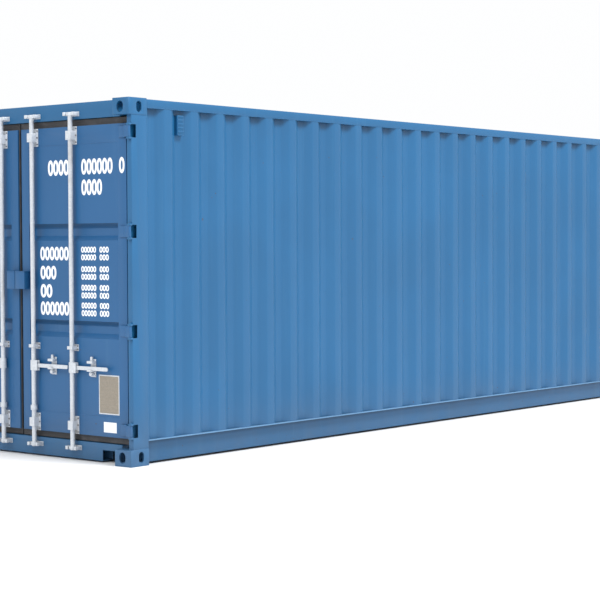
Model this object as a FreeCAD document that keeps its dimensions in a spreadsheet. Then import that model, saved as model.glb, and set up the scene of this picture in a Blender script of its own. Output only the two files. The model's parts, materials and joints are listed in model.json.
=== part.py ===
import FreeCAD, Part
import operator
import os
import Sketcher

# A 40 ft dry cargo container with two hinged doors, four locking bars and their handles.
#
# Origin: bottom centre, on the plane of the corner castings' undersides. X is the width, Y the length
# with the doors at the low end, Z is up. A place near the doors is given by its depth behind the door
# end's outer plane, and a place near the blank end by its depth behind that end's outer plane.

os.makedirs("parts", exist_ok=True)
doc = FreeCAD.newDocument("shipping_container")
sheet = doc.addObject("Spreadsheet::Sheet", "dims")

SIZES = {
    # the whole box
    "ext_length": 12192, "ext_width": 2438, "ext_height": 2591,
    # corner castings
    "casting_length": 178, "casting_width": 162, "casting_height": 118,
    "casting_plate": 28, "casting_wall": 14,
    "lock_slot_length": 124, "lock_slot_width": 63.5, "lock_slot_from_end": 101.5, "lock_slot_from_side": 89,
    "side_slot_width": 50.8, "end_slot_width": 63.5, "face_slot_height": 79.5, "face_slot_middle": 62,
    # rails and posts
    "skin_inset": 7, "rail_top_drop": 6, "top_rail_size": 60, "top_rail_wall": 3,
    "base_lift": 12, "side_rail_bottom": 17, "side_rail_height": 162, "side_rail_wall": 4.5,
    "side_rail_top_flange": 48, "side_rail_bottom_flange": 30,
    "rear_post_inset": 3, "rear_post_face": 28, "rear_post_back": 178, "rear_post_skin": 6,
    "rear_post_inner": 10,
    "rear_post_width": 46, "front_post_width": 50, "front_post_skin": 6, "front_post_depth": 8,
    # end frames
    "frame_face": 72, "header_drop": 118, "header_skin": 4, "sill_front_height": 140, "sill_step_depth": 118,
    "sill_step_height": 143, "sill_slope_depth": 150, "sill_skin": 6,
    "sill_notch_width": 200, "sill_notch_top": 91,
    "front_frame_face": 12, "front_frame_depth": 60, "front_beam_height": 40, "front_skin": 4,
    # corrugated sheets
    "sheet": 2, "side_pitch": 278, "side_outer_flat": 72, "side_inner_flat": 70, "side_depth": 36,
    "side_end_flat": 12,
    "front_pitch": 250, "front_outer_flat": 110, "front_slope": 18, "front_depth": 45.6,
    "front_wall_face": 14,
    "roof_pitch": 209, "roof_flat": 91, "roof_slope": 13.5, "roof_depth": 20,
    # floor and underside
    "floor_top": 167, "floor_thick": 28, "floor_gap": 0.3,
    "member_flange": 45, "member_wall": 4, "member_pitch": 303,
    "tunnel_width": 1029, "tunnel_length": 3500, "tunnel_height": 118, "tunnel_skin": 4, "tunnel_bow_wall": 3,
    # door leaves
    "leaf_inner_edge": 20, "leaf_side_gap": 45, "leaf_face": 66, "leaf_thick": 50, "leaf_sill_gap": 47,
    "leaf_header_gap": 50, "leaf_skin": 3.2, "lock_stile": 80, "hinge_stile": 88, "top_rail_tall": 130,
    "bottom_rail_tall": 145, "panel_set_back": 2, "panel_sheet": 2.5,
    "groove_depth": 36, "groove_mouth": 124, "groove_floor": 54, "upper_groove": 1654, "lower_groove": 951,
    "gasket_gap": 5, "gasket_front": 78, "gasket_back": 112, "post_gap": 5, "header_gap": 5, "sill_gap": 5,
    # hinges
    "hinge_from_end": 61,
    "pin_from_side": 16, "pin_depth": 16, "pin_radius": 7, "pin_play": 0.3, "knuckle_radius": 11,
    "blade_tall": 80, "blade_thick": 10, "blade_lap": 66, "blade_crank": 13, "blade_reach": 5,
    "blade_front": 6, "ear_gap": 1, "ear_thick": 14, "ear_width": 30, "ear_side": 2,
    "notch_clear": 6, "notch_side_clear": 2, "notch_behind_pin": 58,
    # locking bars
    "inner_bar": 171, "outer_bar": 586, "bar_radius": 17, "bar_depth": 34, "bar_foot": 5,
    "cam_radius": 30, "cam_tall": 24, "cam_thick": 24, "cam_wall": 4,
    "keeper_clear": 7, "keeper_thick": 19, "keeper_front": 22, "keeper_tall": 26,
    "keeper_over_header": 38, "keeper_under_sill": 48,
    "bracket_wide": 76, "bracket_tall": 130, "bracket_plate": 5, "bracket_wall": 9, "bracket_front_wall": 7,
    "bore_play": 0.3, "bracket_from_end": 66,
    "guide_middle": 818, "guide_tall": 47, "collar_middle": 362, "collar_tall": 36, "collar_wall": 8,
    # handles
    "handle_middle": 675, "hub_tall": 75, "hub_wall": 7, "cheek_end": 14, "cheek_thick": 6,
    "fork_play": 3, "pivot_from_hub": 12, "handle_reach": 370, "handle_tall": 28, "handle_thick": 10,
    "handle_pin": 6, "retainer_at": 190, "retainer_wide": 54, "retainer_top": 67, "retainer_bottom": 62,
    "retainer_plate": 5, "ledge_thick": 8, "ledge_gap": 0.3, "catch_lift": 22, "catch_tall": 18,
    "catch_front": 24,
    # lock box, plates, ventilators
    "box_inner": 2.5, "box_right": 104, "box_left": 89, "box_bottom": 1237, "box_top": 1366, "box_front": 7,
    "box_skin": 4, "staple_from_edge": 42, "staple_wide": 12,
    "plate_from_stile": 2, "plate_wide": 200, "plate_over_rail": 20, "plate_tall": 274, "plate_thick": 1.7,
    "notice_from_stile": 28, "notice_wide": 130, "notice_from_foot": 32, "notice_tall": 74, "notice_thick": 1,
    "vent_wide": 66, "vent_tall": 145, "vent_under_rail": 35, "vent_proud": 31, "vent_skin": 2,
}

OPERATIONS = {"+": operator.add, "-": operator.sub, "*": operator.mul, "/": operator.truediv}


class Size:
    """A length with its present value and the formula that the document works it out from."""

    def __init__(self, formula, value):
        self.formula = formula
        self.value = float(value)

    def __add__(self, other):
        return combined(self, "+", other)

    def __radd__(self, other):
        return combined(other, "+", self)

    def __sub__(self, other):
        return combined(self, "-", other)

    def __rsub__(self, other):
        return combined(other, "-", self)

    def __mul__(self, other):
        return combined(self, "*", other)

    def __rmul__(self, other):
        return combined(other, "*", self)

    def __truediv__(self, other):
        return combined(self, "/", other)

    def __neg__(self):
        return combined(0, "-", self)


def as_size(value):
    """A Size as it is, or a plain number made into one."""
    if isinstance(value, Size):
        return value
    return Size(repr(value), value)


def combined(first, sign, second):
    """The Size that an operation on two sizes or numbers gives."""
    left, right = as_size(first), as_size(second)
    return Size(f"({left.formula} {sign} {right.formula})", OPERATIONS[sign](left.value, right.value))


class Dims:
    """The spreadsheet's cells, read as attributes that are Sizes."""


dims = Dims()
for row, (alias, number) in enumerate(SIZES.items(), start=1):
    sheet.set(f"A{row}", alias)
    sheet.set(f"B{row}", str(number))
    sheet.setAlias(f"B{row}", alias)
    setattr(dims, alias, Size(f"dims.{alias}", number))
doc.recompute()

nodes = {}
NORMAL_PLANES = {"XY": "XY_Plane", "YZ": "YZ_Plane"}
TURNS = {
    "x": FreeCAD.Rotation(FreeCAD.Vector(0, 1, 0), 90),
    "y": FreeCAD.Rotation(FreeCAD.Vector(1, 0, 0), -90),
    "z": FreeCAD.Rotation(),
}


# ---- helpers that make one feature each

def bind(feature, prop, size):
    """Ties a property to the sheet."""
    feature.setExpression(prop, as_size(size).formula)


def rear(depth):
    """The Y of a place at this depth behind the door end's plane."""
    return depth - dims.ext_length / 2


def front(depth):
    """The Y of a place at this depth behind the blank end's plane."""
    return dims.ext_length / 2 - depth


def span(side, low, high):
    """Low and high X of a stretch that is mirrored when side is -1."""
    return (as_size(low), as_size(high)) if side > 0 else (-as_size(high), -as_size(low))


def about(middle, half):
    """Low and high of a stretch that is centred on a place."""
    return middle - half, middle + half


def block(name, x, y, z):
    """A box between the low and high values given for each axis."""
    piece = doc.addObject("Part::Box", name)
    for axis, prop, (low, high) in zip("xyz", ("Length", "Width", "Height"), (x, y, z)):
        bind(piece, f"Placement.Base.{axis}", low)
        bind(piece, prop, as_size(high) - low)
    return piece


def round_bar(name, axis, radius, start, length):
    """A cylinder that starts at a point and runs up one axis."""
    piece = doc.addObject("Part::Cylinder", name)
    piece.Placement = FreeCAD.Placement(FreeCAD.Vector(), TURNS[axis])
    bind(piece, "Radius", radius)
    bind(piece, "Height", length)
    for letter, place in zip("xyz", start):
        bind(piece, f"Placement.Base.{letter}", place)
    return piece


def cut(name, base, *tools):
    """Base with the tools taken away."""
    piece = doc.addObject("Part::Cut", name)
    piece.Base = base
    piece.Tool = tools[0] if len(tools) == 1 else fuse(f"{name}_tools", *tools)
    return piece


def fuse(name, *pieces):
    """Pieces joined into one."""
    piece = doc.addObject("Part::MultiFuse", name)
    piece.Shapes = list(pieces)
    return piece


def mirrored(name, source, normal):
    """A copy on the other side of a plane through the origin."""
    piece = doc.addObject("Part::Mirroring", name)
    piece.Source = source
    piece.Normal = FreeCAD.Vector(*normal)
    return piece


def prism(name, plane, corners, low, high, hollow=None):
    """A padded sketch: corners are pairs of sizes in the plane, low and high its ends along the normal."""
    body = doc.addObject("PartDesign::Body", name)
    add_pad(body, plane, corners, low, high)
    if hollow:
        sketch = add_sketch(body, f"{name}_hollow", plane, hollow, low)
        pocket = body.newObject("PartDesign::Pocket", f"{name}_pocket")
        pocket.Profile = sketch
        pocket.Type = "ThroughAll"
        pocket.Midplane = True
    return body


def add_pad(body, plane, corners, low, high):
    """Pads an outline of a body."""
    sketch = add_sketch(body, f"{body.Name}_outline", plane, corners, low)
    pad = body.newObject("PartDesign::Pad", f"{body.Name}_pad")
    pad.Profile = sketch
    bind(pad, "Length", as_size(high) - low)


def add_sketch(body, name, plane, corners, level):
    """A closed outline of straight lines, each corner tied to the sheet by its two distances."""
    sketch = body.newObject("Sketcher::SketchObject", name)
    base = [item for item in body.Origin.OriginFeatures if item.Role == NORMAL_PLANES[plane]]
    sketch.AttachmentSupport = [(base[0], "")]
    sketch.MapMode = "FlatFace"
    bind(sketch, "AttachmentOffset.Base.z", level)
    corners = [(as_size(across), as_size(up)) for across, up in corners]
    points = [FreeCAD.Vector(across.value, up.value, 0) for across, up in corners]
    for index, point in enumerate(points):
        sketch.addGeometry(Part.LineSegment(point, points[(index + 1) % len(points)]))
    for index in range(len(points)):
        following = (index + 1) % len(points)
        sketch.addConstraint(Sketcher.Constraint("Coincident", index, 2, following, 1))
    for index, corner in enumerate(corners):
        for kind, size in zip(("DistanceX", "DistanceY"), corner):
            number = sketch.addConstraint(Sketcher.Constraint(kind, -1, 1, index, 1, size.value))
            sketch.setExpression(f"Constraints[{number}]", size.formula)
    return sketch


def slot(name, through, across, middle, width, length):
    """A tool for a round-ended hole: through is the axis it runs along, across the axis it is long on."""
    axes = [letter for letter in "xyz" if letter not in (through, across)]
    spans = {through: middle[through], axes[0]: about(middle[axes[0]], width / 2)}
    spans[across] = about(middle[across], (length - width) / 2)
    pieces = [block(f"{name}_middle", *(spans[letter] for letter in "xyz"))]
    low, high = middle[through]
    for end, place in zip(("low", "high"), spans[across]):
        start = {through: low, across: place, axes[0]: middle[axes[0]]}
        pieces.append(round_bar(f"{name}_{end}", through, width / 2, [start[a] for a in "xyz"], high - low))
    return fuse(name, *pieces)


def node(name, *pieces):
    """The finished sub-part, from one feature or from several that don't touch."""
    piece = pieces[0]
    if len(pieces) > 1:
        piece = doc.addObject("Part::Compound", name)
        piece.Links = list(pieces)
    piece.Label = name
    nodes[name] = piece
    return piece


def extruded(name, outline, direction):
    """A fixed shape from an outline that was worked out corner by corner."""
    wire = Part.makePolygon([FreeCAD.Vector(*corner) for corner in outline + outline[:1]])
    piece = doc.addObject("Part::Feature", name)
    piece.Shape = Part.Face(wire).extrude(FreeCAD.Vector(*direction))
    piece.Placement = FreeCAD.Placement()
    return piece


# ---- sizes that several pieces share

side_x = dims.ext_width / 2
skin_x = side_x - dims.skin_inset
casting_x = side_x - dims.casting_width
top_z = dims.ext_height - dims.rail_top_drop
casting_z = dims.ext_height - dims.casting_height
rail_web_x = skin_x - dims.side_rail_top_flange
rail_top = dims.side_rail_bottom + dims.side_rail_height
post_x = side_x - dims.rear_post_inset
opening_x = post_x - dims.rear_post_width
header_bottom = top_z - dims.header_drop
front_post_x = post_x - dims.front_post_width
front_back = dims.front_frame_face + dims.front_frame_depth
tunnel_x = dims.tunnel_width / 2
pin_x = side_x - dims.pin_from_side
leaf_back = dims.leaf_face + dims.leaf_thick
leaf_outer = opening_x - dims.leaf_side_gap
leaf_bottom = dims.sill_step_height + dims.leaf_sill_gap
leaf_top = header_bottom - dims.leaf_header_gap
panel_face = dims.leaf_face + dims.panel_set_back
panel_low = leaf_bottom + dims.bottom_rail_tall
panel_high = leaf_top - dims.top_rail_tall
panel_inner = dims.leaf_inner_edge + dims.lock_stile
panel_outer = leaf_outer - dims.hinge_stile
gasket_x = opening_x - dims.post_gap
gasket_top = header_bottom - dims.header_gap
gasket_bottom = dims.sill_step_height + dims.sill_gap
hinge_low = leaf_bottom + dims.hinge_from_end
hinge_step = (leaf_top - leaf_bottom - dims.hinge_from_end * 2) / 3
upper_keeper = header_bottom + dims.keeper_over_header
lower_keeper = dims.sill_front_height - dims.keeper_under_sill
hub_radius = dims.bar_radius + dims.hub_wall
handle_pivot = hub_radius + dims.pivot_from_hub
cheek_reach = handle_pivot + dims.cheek_end
cheek_half = dims.handle_thick / 2 + dims.fork_play + dims.cheek_thick
side_recesses = round((dims.ext_length.value - dims.casting_length.value * 2) / dims.side_pitch.value)
HINGES = {str(number): hinge_low + hinge_step * number for number in range(4)}
BARS = {"inner": dims.inner_bar, "outer": dims.outer_bar}
SIDES = {"right": 1, "left": -1}


# ---- frame of the box

def casting(name, height):
    """One hollow corner casting at the door end, on the +X side; height turns its own height into Z."""
    def level(low, high):
        ends = height(low), height(high)
        return ends if ends[0].value < ends[1].value else ends[::-1]

    x_in, x_out = casting_x, side_x
    wall = dims.casting_wall
    shell = block(f"{name}_shell", (x_in, x_out), (rear(0), rear(dims.casting_length)),
                  level(as_size(0), dims.casting_height))
    cavity = block(f"{name}_cavity", (x_in + wall, x_out - wall),
                   (rear(wall), rear(dims.casting_length - wall)),
                   level(dims.casting_plate, dims.casting_height - wall))
    middle_y = rear(dims.lock_slot_from_end)
    middle_x = x_out - dims.lock_slot_from_side
    middle_z = height(dims.face_slot_middle)
    lock_z = level(as_size(-5), dims.casting_plate + 5)
    lock = slot(f"{name}_lock", "z", "y", {"x": middle_x, "y": middle_y, "z": lock_z},
                dims.lock_slot_width, dims.lock_slot_length)
    side = slot(f"{name}_side", "x", "z", {"x": (x_out - wall - 5, x_out + 5), "y": middle_y, "z": middle_z},
                dims.side_slot_width, dims.face_slot_height)
    end_y = (rear(as_size(-5)), rear(wall + 5))
    end = slot(f"{name}_end", "y", "z", {"x": middle_x, "y": end_y, "z": middle_z},
               dims.end_slot_width, dims.face_slot_height)
    return cut(name, shell, cavity, lock, side, end)


def four_castings(name, height):
    """A casting and its three mirror images."""
    first = casting(f"{name}_rear_right", height)
    second = mirrored(f"{name}_rear_left", first, (1, 0, 0))
    third = mirrored(f"{name}_front_right", first, (0, 1, 0))
    fourth = mirrored(f"{name}_front_left", second, (0, 1, 0))
    node(name, first, second, third, fourth)


def rear_post(side):
    """A rear corner post: a hollow section with a notch beside each hinge."""
    name = f"rear_post_{side}"
    skin, inner = dims.rear_post_skin, dims.rear_post_inner
    z = (dims.casting_height, casting_z)
    y = (rear(dims.rear_post_face), rear(dims.rear_post_back))
    tube = block(f"{name}_tube", (opening_x, post_x), y, z)
    bore = block(f"{name}_bore", (opening_x + inner, post_x - skin),
                 (rear(dims.rear_post_face + inner), rear(dims.rear_post_back - skin)), z)
    notches = [
        block(f"{name}_notch_{key}", (pin_x - dims.knuckle_radius - dims.notch_side_clear, side_x),
              (rear(dims.rear_post_face - 5), rear(dims.pin_depth + dims.notch_behind_pin)),
              about(height, dims.blade_tall / 2 + dims.notch_clear))
        for key, height in HINGES.items()
    ]
    return cut(name, tube, bore, *notches)


def pair(name, piece):
    """A piece of the +X side and its mirror image, as one node."""
    node(name, piece, mirrored(f"{name}_left", piece, (1, 0, 0)))


def front_post():
    """A front corner post: a closed section between two castings."""
    skin = dims.front_post_skin
    z = (dims.casting_height, casting_z)
    tube = block("front_post_tube", (front_post_x, post_x),
                 (front(dims.casting_length), front(dims.front_post_depth)), z)
    bore = block("front_post_bore", (front_post_x + skin, post_x - skin),
                 (front(dims.casting_length - skin), front(dims.front_post_depth + skin)), z)
    return cut("front_post", tube, bore)


def top_rail():
    """A square tube from the rear casting to the front one."""
    wall = dims.top_rail_wall
    y = (rear(dims.casting_length), front(dims.casting_length))
    tube_z = (top_z - dims.top_rail_size, top_z)
    tube = block("top_rail_tube", (skin_x - dims.top_rail_size, skin_x), y, tube_z)
    bore = block("top_rail_bore", (skin_x - dims.top_rail_size + wall, skin_x - wall), y,
                 (top_z - dims.top_rail_size + wall, top_z - wall))
    return cut("top_rail", tube, bore)


def bottom_rail():
    """A rolled rail: a lip outward on top, a web, and a flange inward at the bottom."""
    wall = dims.side_rail_wall
    y = (rear(dims.casting_length), front(dims.casting_length))
    web = block("bottom_rail_web", (rail_web_x, rail_web_x + wall), y, (dims.side_rail_bottom, rail_top))
    lip = block("bottom_rail_lip", (rail_web_x, skin_x), y, (rail_top - wall, rail_top))
    flange = block("bottom_rail_flange", (rail_web_x - dims.side_rail_bottom_flange, rail_web_x + wall), y,
                   (dims.side_rail_bottom, dims.side_rail_bottom + wall))
    return fuse("bottom_rail", web, lip, flange)


def rear_header():
    """The box beam over the doors."""
    skin = dims.header_skin
    x = (-casting_x, casting_x)
    y = (rear(dims.frame_face), rear(dims.casting_length))
    tube = block("rear_header_tube", x, y, (header_bottom, top_z))
    bore = block("rear_header_bore", x, (rear(dims.frame_face + skin), rear(dims.casting_length - skin)),
                 (header_bottom + skin, top_z - skin))
    return cut("rear_header", tube, bore)


def rear_sill():
    """The hollow threshold under the doors, with a notch beside each casting."""
    skin = dims.sill_skin
    face, back, foot = dims.frame_face, dims.casting_length, dims.base_lift
    top = dims.floor_top - 2
    outline = [(rear(face), foot), (rear(back), foot), (rear(back), top), (rear(dims.sill_slope_depth), top),
               (rear(dims.sill_step_depth), dims.sill_step_height), (rear(face), dims.sill_front_height)]
    hollow = [(rear(face + skin), foot + skin), (rear(back - skin), foot + skin),
              (rear(back - skin), top - skin),
              (rear(dims.sill_slope_depth + skin / 2), top - skin),
              (rear(dims.sill_step_depth + skin / 2), dims.sill_step_height - skin),
              (rear(face + skin), dims.sill_front_height - skin)]
    beam = prism("rear_sill_beam", "YZ", outline, -casting_x, casting_x, hollow)
    notches = [
        block(f"rear_sill_notch_{side}", span(sign, casting_x - dims.sill_notch_width, casting_x + 1),
              (rear(face - 5), rear(back + 5)), (foot - 5, dims.sill_notch_top))
        for side, sign in SIDES.items()
    ]
    return cut("rear_sill", beam, *notches)


def front_header():
    """The square beam over the blank end with its roof plate."""
    skin = dims.front_skin
    x = (-casting_x, casting_x)
    y = (front(front_back), front(dims.front_frame_face))
    tube = block("front_header_tube", x, y, (casting_z, top_z))
    bore = block("front_header_bore", x, (front(front_back - skin), front(dims.front_frame_face + skin)),
                 (casting_z + skin, top_z - skin))
    plate_y = (front(dims.casting_length), front(front_back))
    plate = block("front_header_plate", x, plate_y, (top_z - skin, top_z))
    return fuse("front_header", cut("front_header_beam", tube, bore), plate)


def front_sill():
    """The blank end's bottom beam, raised over the gooseneck tunnel."""
    skin = dims.front_skin
    y = (front(front_back), front(dims.front_frame_face))
    y_bore = (front(front_back - skin), front(dims.front_frame_face + skin))
    beam_top = dims.tunnel_height + dims.front_beam_height
    beam = block("front_sill_beam", (-front_post_x, front_post_x), y, (dims.tunnel_height, beam_top))
    beam_bore = block("front_sill_beam_bore", (-front_post_x, front_post_x), y_bore,
                      (dims.tunnel_height + skin, beam_top - skin))
    legs = []
    for side, sign in SIDES.items():
        z = (dims.side_rail_bottom, dims.tunnel_height)
        leg = block(f"front_sill_leg_{side}", span(sign, tunnel_x + dims.tunnel_skin, casting_x), y, z)
        bore = block(f"front_sill_leg_bore_{side}", span(sign, tunnel_x + dims.tunnel_skin * 2, casting_x),
                     y_bore, (dims.side_rail_bottom + skin, dims.tunnel_height))
        legs.append(cut(f"front_sill_half_{side}", leg, bore))
    return fuse("front_sill", cut("front_sill_top", beam, beam_bore), *legs)


# ---- corrugated sheets

def side_wall_line():
    """Depth of the side sheet's outer face below its crests, along Y."""
    slope = (dims.side_pitch.value - dims.side_outer_flat.value - dims.side_inner_flat.value) / 2
    flat = dims.side_inner_flat.value / 2
    depth = dims.side_depth.value
    low, high = rear(dims.casting_length).value, front(dims.casting_length).value
    first, last = low + dims.side_end_flat.value, high - dims.side_end_flat.value
    line = [(low, 0)]
    for index in range(side_recesses):
        middle = (index - (side_recesses - 1) / 2) * dims.side_pitch.value
        line += [(max(middle - flat - slope, first), 0), (middle - flat, depth),
                 (middle + flat, depth), (min(middle + flat + slope, last), 0)]
    return line + [(high, 0)]


def side_wall(name, sign):
    """One side's sheet, from the bottom rail's lip to the underside of the top rail."""
    z = rail_top.value
    outer = [(sign * (skin_x.value - down), y, z) for y, down in side_wall_line()]
    inner = [(sign * (skin_x.value - down - dims.sheet.value), y, z) for y, down in side_wall_line()]
    tall = (top_z - dims.top_rail_size - rail_top).value
    node(name, extruded(name, outer + inner[::-1], (0, 0, tall)))


def wave(pitch, flat, slope, depth, low, high):
    """A line of as many trapezoid recesses as fit, centred between two ends."""
    inner = pitch - flat - 2 * slope
    count = int((high - low) // pitch)
    middle = (low + high) / 2
    line = [(low, 0)]
    for index in range(count):
        centre = middle + (index - (count - 1) / 2) * pitch
        line += [(centre - inner / 2 - slope, 0), (centre - inner / 2, depth),
                 (centre + inner / 2, depth), (centre + inner / 2 + slope, 0)]
    return line + [(high, 0)]


def front_wall():
    """The blank end's sheet, between its posts, sill and header."""
    z = (dims.tunnel_height + dims.front_beam_height).value
    face = front(dims.front_wall_face).value
    line = wave(dims.front_pitch.value, dims.front_outer_flat.value,
                dims.front_slope.value, dims.front_depth.value, -front_post_x.value, front_post_x.value)
    outer = [(x, face - down, z) for x, down in line]
    inner = [(x, face - down - dims.sheet.value, z) for x, down in line]
    node("front_wall", extruded("front_wall", outer + inner[::-1], (0, 0, casting_z.value - z)))


def roof():
    """The roof sheet, between the top rails and the end frames."""
    half = (skin_x - dims.top_rail_size).value
    line = wave(dims.roof_pitch.value, dims.roof_flat.value, dims.roof_slope.value,
                dims.roof_depth.value, rear(dims.casting_length).value, front(dims.casting_length).value)
    upper = [(-half, y, top_z.value - down) for y, down in line]
    lower = [(-half, y, top_z.value - down - dims.sheet.value) for y, down in line]
    node("roof", extruded("roof", upper + lower[::-1], (2 * half, 0, 0)))


# ---- floor and underside

def floor():
    """The plywood deck on the cross members."""
    half = rail_web_x - dims.floor_gap
    return block("floor", (-half, half), (rear(dims.casting_length), front(front_back)),
                 (dims.floor_top - dims.floor_thick, dims.floor_top))


def channel(name, x, middle, z_low):
    """A pressed channel across the box, open towards the blank end."""
    wall = dims.member_wall
    z_high = dims.floor_top - dims.floor_thick
    y_low, y_high = middle - dims.member_flange / 2, middle + dims.member_flange / 2
    bar = block(f"{name}_bar", x, (y_low, y_high), (z_low, z_high))
    hollow = block(f"{name}_hollow", x, (y_low + wall, y_high), (z_low + wall, z_high - wall))
    return cut(name, bar, hollow)


def crossmembers():
    """Channels between the bottom rails, cut short beside the gooseneck tunnel."""
    z_low = dims.side_rail_bottom + dims.side_rail_wall
    members, bows = [], []
    clear = (dims.ext_length - dims.casting_length * 2).value
    count = int(clear // dims.member_pitch.value)
    for index in range(count):
        middle = dims.member_pitch * (index - (count - 1) / 2)
        depth_left = dims.ext_length.value / 2 - middle.value
        if depth_left > dims.tunnel_length.value + dims.member_flange.value:
            members.append(channel(f"member_{index}", (-rail_web_x, rail_web_x), middle, z_low))
            continue
        for side, sign in SIDES.items():
            x = span(sign, tunnel_x + dims.tunnel_skin, rail_web_x)
            members.append(channel(f"outrigger_{index}_{side}", x, middle, z_low))
        bows.append(middle)
    node("crossmembers", *members)
    return bows


def gooseneck_tunnel(bows):
    """The raised channel under the blank end, with shallow bows that carry the floor over it."""
    skin, wall = dims.tunnel_skin, dims.tunnel_bow_wall
    roof_low, roof_high = dims.tunnel_height, dims.tunnel_height + skin
    y = (front(dims.tunnel_length), front(front_back))
    outer_x = tunnel_x + skin
    plate = block("tunnel_plate", (-outer_x, outer_x), y, (roof_low, roof_high))
    pieces = [plate]
    for side, sign in SIDES.items():
        pieces.append(block(f"tunnel_leg_{side}", span(sign, tunnel_x, outer_x), y,
                            (dims.side_rail_bottom, roof_high)))
    end_y = (front(dims.tunnel_length + skin), front(dims.tunnel_length))
    pieces.append(block("tunnel_end", (-outer_x, outer_x), end_y, (dims.side_rail_bottom, roof_high)))
    half = dims.member_flange / 2
    deck = dims.floor_top - dims.floor_thick
    for index, middle in enumerate(bows):
        bar = block(f"bow_{index}_bar", (-outer_x, outer_x), about(middle, half), (roof_high, deck))
        hollow = block(f"bow_{index}_hollow", (-outer_x, outer_x), about(middle, half - wall),
                       (roof_high, deck - wall))
        pieces.append(cut(f"bow_{index}", bar, hollow))
    return fuse("gooseneck_tunnel", *pieces)


# ---- hardware on the end frame

def hinge_ears():
    """Two ears and a pin at each hinge, welded to the post's front."""
    ears = []
    for side, sign in SIDES.items():
        for key, height in HINGES.items():
            name = f"ears_{side}_{key}"
            reach = dims.blade_tall / 2 + dims.ear_gap
            x = span(sign, side_x - dims.ear_side - dims.ear_width, side_x - dims.ear_side)
            y = (rear(dims.pin_depth - dims.knuckle_radius), rear(dims.rear_post_face))
            upper = block(f"{name}_upper", x, y, (height + reach, height + reach + dims.ear_thick))
            lower = block(f"{name}_lower", x, y, (height - reach - dims.ear_thick, height - reach))
            pin_low = height - reach - dims.ear_thick
            pin = round_bar(f"{name}_pin", "z", dims.pin_radius,
                            (sign * pin_x, rear(dims.pin_depth), pin_low), (reach + dims.ear_thick) * 2)
            ears.append(fuse(name, upper, lower, pin))
    node("hinge_ears", *ears)


def keepers():
    """Two lugs beside each end of each locking bar, on the header and on the sill."""
    lugs = []
    for side, sign in SIDES.items():
        for bar, place in BARS.items():
            for level, height in (("upper", upper_keeper), ("lower", lower_keeper)):
                for edge, way in (("near", -1), ("far", 1)):
                    near = dims.cam_radius + dims.keeper_clear
                    x = span(sign * way, near, near + dims.keeper_thick)
                    x = (x[0] + sign * place, x[1] + sign * place)
                    lugs.append(block(f"keeper_{side}_{bar}_{level}_{edge}", x,
                                      (rear(dims.keeper_front), rear(dims.frame_face)),
                                      about(height, dims.keeper_tall / 2)))
    node("cam_keepers", *lugs)


def ventilator(name, sign, place):
    """A shallow box over a vent hole, in a recess of the side sheet, open at the back."""
    x_low = skin_x - dims.side_depth
    x_high = x_low + dims.vent_proud
    z_high = top_z - dims.top_rail_size - dims.vent_under_rail
    z = (z_high - dims.vent_tall, z_high)
    skin = dims.vent_skin
    box = block(f"{name}_box", span(sign, x_low, x_high), about(place, dims.vent_wide / 2), z)
    hollow = block(f"{name}_hollow", span(sign, x_low, x_high - skin),
                   about(place, dims.vent_wide / 2 - skin), (z[0] + skin, z[1] - skin))
    return cut(name, box, hollow)


def ventilators():
    """One ventilator near the doors on the +X side and one near the blank end on the -X side."""
    place = dims.side_pitch * ((side_recesses - 1) / 2 - 1)
    node("ventilators", ventilator("vent_right", 1, -place), ventilator("vent_left", -1, place))


# ---- doors

def leaf_frame(side, sign):
    """The leaf's stiles and rails: tubes upright, channels across that are open inwards."""
    name = f"{side}_door_frame"
    skin = dims.leaf_skin
    y = (rear(dims.leaf_face), rear(leaf_back))
    z = (leaf_bottom, leaf_top)
    inner, outer = dims.leaf_inner_edge, leaf_outer
    slab = block(f"{name}_slab", span(sign, inner, outer), y, z)
    window = block(f"{name}_window", span(sign, panel_inner, panel_outer),
                   (rear(dims.leaf_face - 5), rear(leaf_back + 5)), (panel_low, panel_high))
    bore_y = (rear(dims.leaf_face + skin), rear(leaf_back - skin))
    lock_bore = block(f"{name}_lock_bore", span(sign, inner + skin, panel_inner - skin), bore_y, z)
    hinge_bore = block(f"{name}_hinge_bore", span(sign, panel_outer + skin, outer - skin), bore_y, z)
    hollow_y = (rear(dims.leaf_face + skin), rear(leaf_back))
    hollow_x = span(sign, panel_inner, panel_outer)
    top_hollow = block(f"{name}_top_hollow", hollow_x, hollow_y, (panel_high + skin, leaf_top - skin))
    foot_hollow = block(f"{name}_foot_hollow", hollow_x, hollow_y, (leaf_bottom + skin, panel_low - skin))
    node(name, cut(name, slab, window, lock_bore, hinge_bore, top_hollow, foot_hollow))


def leaf_panel(side, sign):
    """The leaf's sheet with its two level grooves."""
    name = f"{side}_door_panel"
    outer = [(panel_face, panel_low)]
    slope = (dims.groove_mouth - dims.groove_floor) / 2
    for groove in (dims.lower_groove, dims.upper_groove):
        floor_depth = panel_face + dims.groove_depth
        outer += [(panel_face, groove - dims.groove_mouth / 2), (floor_depth, groove - dims.groove_floor / 2),
                  (floor_depth, groove + dims.groove_floor / 2), (panel_face, groove + dims.groove_mouth / 2)]
    outer.append((panel_face, panel_high))
    bend = dims.panel_sheet * dims.groove_depth / (slope + dims.groove_depth) / 2
    inner = [(panel_face + dims.panel_sheet, panel_high)]
    for groove in (dims.upper_groove, dims.lower_groove):
        floor_depth = panel_face + dims.groove_depth + dims.panel_sheet
        inner += [(panel_face + dims.panel_sheet, groove + dims.groove_mouth / 2 + bend),
                  (floor_depth, groove + dims.groove_floor / 2 + bend),
                  (floor_depth, groove - dims.groove_floor / 2 - bend),
                  (panel_face + dims.panel_sheet, groove - dims.groove_mouth / 2 - bend)]
    inner.append((panel_face + dims.panel_sheet, panel_low))
    low, high = span(sign, panel_inner, panel_outer)
    outline = [(rear(depth), height) for depth, height in outer + inner]
    node(name, prism(name, "YZ", outline, low, high))


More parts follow.
